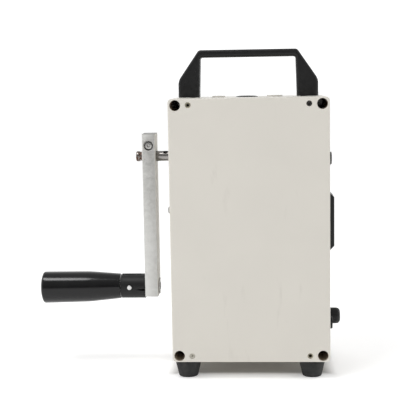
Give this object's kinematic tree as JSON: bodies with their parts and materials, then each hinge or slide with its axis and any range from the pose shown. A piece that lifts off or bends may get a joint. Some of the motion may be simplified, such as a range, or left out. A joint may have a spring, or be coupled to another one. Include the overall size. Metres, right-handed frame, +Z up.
{
  "type": "emergency radio",
  "caption": "Hand-cranked emergency radio in an upright plastic case with a fixed carry handle, rubber feet and a crank whose grip folds up and revolves.",
  "frame": {"origin": "centre of the whole object's footprint, on the surface that the feet stand on", "axes": "+Z up, -Y out of the plain back wall that the wall-mounting holes are in, +Y out of the front lid with the loudspeaker, +X towards the side with the volume knob, so the crank is on -X"},
  "size_m": [0.2394, 0.104, 0.2497],
  "materials": {
    "case_plastic": "moulded, fine grain, pale warm grey",
    "black_plastic": "satin moulded black",
    "gloss_black": "polished phenolic black",
    "pale_plastic": "smooth pale grey",
    "rubber": "matt black rubber",
    "bar_aluminium": "mill finish flat bar with sawn ends",
    "steel": "bright drawn steel",
    "brass": "turned",
    "nylon": "natural moulded nylon",
    "circuit_board": "solder mask",
    "copper_wire": "enamelled winding",
    "ferrite": "dark sintered ferrite",
    "paper_cone": "pressed dark cone",
    "battery_wrap": "heat-shrunk sleeve",
    "red_lens": "tinted moulded lens"
  },
  "bodies": {
    "case": {"rear_shell": "case_plastic", "front_lid": "case_plastic", "carry_handle": "black_plastic", "battery_tray": "black_plastic", "speaker_frame": "black_plastic", "side_bezel": "black_plastic", "power_switch": "black_plastic", "headphone_jack": "black_plastic", "jack_nut": "black_plastic", "band_switch": "black_plastic", "dial_ring": "gloss_black", "foot_1": "rubber", "foot_2": "rubber", "foot_3": "rubber", "foot_4": "rubber", "lid_gasket": "rubber", "gearbox_plate_outer": "steel", "gearbox_plate_inner": "steel", "idler_axle": "steel", "generator": "steel", "lid_screw_1": "steel", "lid_screw_2": "steel", "lid_screw_3": "steel", "lid_screw_4": "steel", "handle_screw_1": "steel", "handle_screw_2": "steel", "side_screw": "steel", "tuning_capacitor": "steel", "volume_pot": "steel", "shaft_bush_outer": "brass", "shaft_bush_inner": "brass", "main_board": "circuit_board", "switch_board": "circuit_board", "antenna_coil": "copper_wire", "ferrite_rod": "ferrite", "speaker_magnet": "ferrite", "speaker_cone": "paper_cone", "battery_pack": "battery_wrap", "indicator_lens": "red_lens"},
    "crank": {"crank_shaft": "steel", "shaft_collar": "steel", "crank_arm": "bar_aluminium", "clamp_screw": "steel", "hinge_block": "black_plastic", "retaining_ring": "steel", "drive_gear": "nylon"},
    "fold_link": {"fold_pin": "steel"},
    "grip_link": {"grip_spindle": "steel"},
    "grip": {"crank_grip": "gloss_black"},
    "idler": {"idler_gear": "nylon"},
    "rotor": {"generator_pinion": "brass"},
    "tuning_dial": {"tuning_knob": "black_plastic"},
    "volume_control": {"volume_knob": "black_plastic"},
    "left_button": {"button_left": "pale_plastic"},
    "middle_button": {"button_middle": "gloss_black"},
    "right_button": {"button_right": "pale_plastic"},
    "wall_button": {"side_button": "black_plastic"},
    "band_selector": {"band_slider": "black_plastic"},
    "rocker": {"power_rocker": "gloss_black"}
  },
  "joints": [
    {"name": "crank_spin", "type": "hinge", "parent": "case", "child": "crank", "pos_m": [-0.0104, -0.007, 0.1679], "axis": [1, 0, 0], "continuous": true},
    {"name": "grip_fold", "type": "hinge", "parent": "crank", "child": "fold_link", "pos_m": [-0.0471, -0.007, 0.064], "axis": [0, 1, 0], "range_deg": [0, 90]},
    {"name": "grip_pull", "type": "slide", "parent": "fold_link", "child": "grip_link", "axis": [-0.9999, 0, -0.014], "range_m": [0, 0.0055]},
    {"name": "grip_spin", "type": "hinge", "parent": "grip_link", "child": "grip", "pos_m": [-0.0548, -0.007, 0.06389], "axis": [0.9999, 0, 0.014], "continuous": true},
    {"name": "idler_spin", "type": "hinge", "parent": "case", "child": "idler", "pos_m": [0.0036, -0.007, 0.1274], "axis": [1, 0, 0], "continuous": true},
    {"name": "rotor_spin", "type": "hinge", "parent": "case", "child": "rotor", "pos_m": [0.0076, -0.007, 0.0899], "axis": [1, 0, 0], "continuous": true},
    {"name": "tuning_turn", "type": "hinge", "parent": "case", "child": "tuning_dial", "pos_m": [0.0496, 0.038, 0.0652], "axis": [0, 1, 0], "range_deg": [-135, 135]},
    {"name": "volume_turn", "type": "hinge", "parent": "case", "child": "volume_control", "pos_m": [0.1096, -0.007, 0.0391], "axis": [1, 0, 0], "range_deg": [0, 300]},
    {"name": "left_button_press", "type": "slide", "parent": "case", "child": "left_button", "axis": [0, 0, -1], "range_m": [0, 0.001], "stiffness_N_per_m": 400},
    {"name": "middle_button_press", "type": "slide", "parent": "case", "child": "middle_button", "axis": [0, 0, -1], "range_m": [0, 0.001], "stiffness_N_per_m": 400},
    {"name": "right_button_press", "type": "slide", "parent": "case", "child": "right_button", "axis": [0, 0, -1], "range_m": [0, 0.001], "stiffness_N_per_m": 400},
    {"name": "side_button_press", "type": "slide", "parent": "case", "child": "wall_button", "axis": [-1, 0, 0], "range_m": [0, 0.0015], "stiffness_N_per_m": 400},
    {"name": "band_slide", "type": "slide", "parent": "case", "child": "band_selector", "axis": [1, 0, 0], "range_m": [0, 0.008]},
    {"name": "power_rock", "type": "hinge", "parent": "case", "child": "rocker", "pos_m": [0.1096, -0.007, 0.1161], "axis": [0, 1, 0], "range_deg": [0, 12]}
  ],
  "couplings": [
    {"joint": "idler_spin", "follows": "crank_spin", "ratio": -2.8571},
    {"joint": "rotor_spin", "follows": "crank_spin", "ratio": 7.3469},
    {"joint": "grip_pull", "follows": "grip_fold", "m_per_rad": 0.0035}
  ]
}
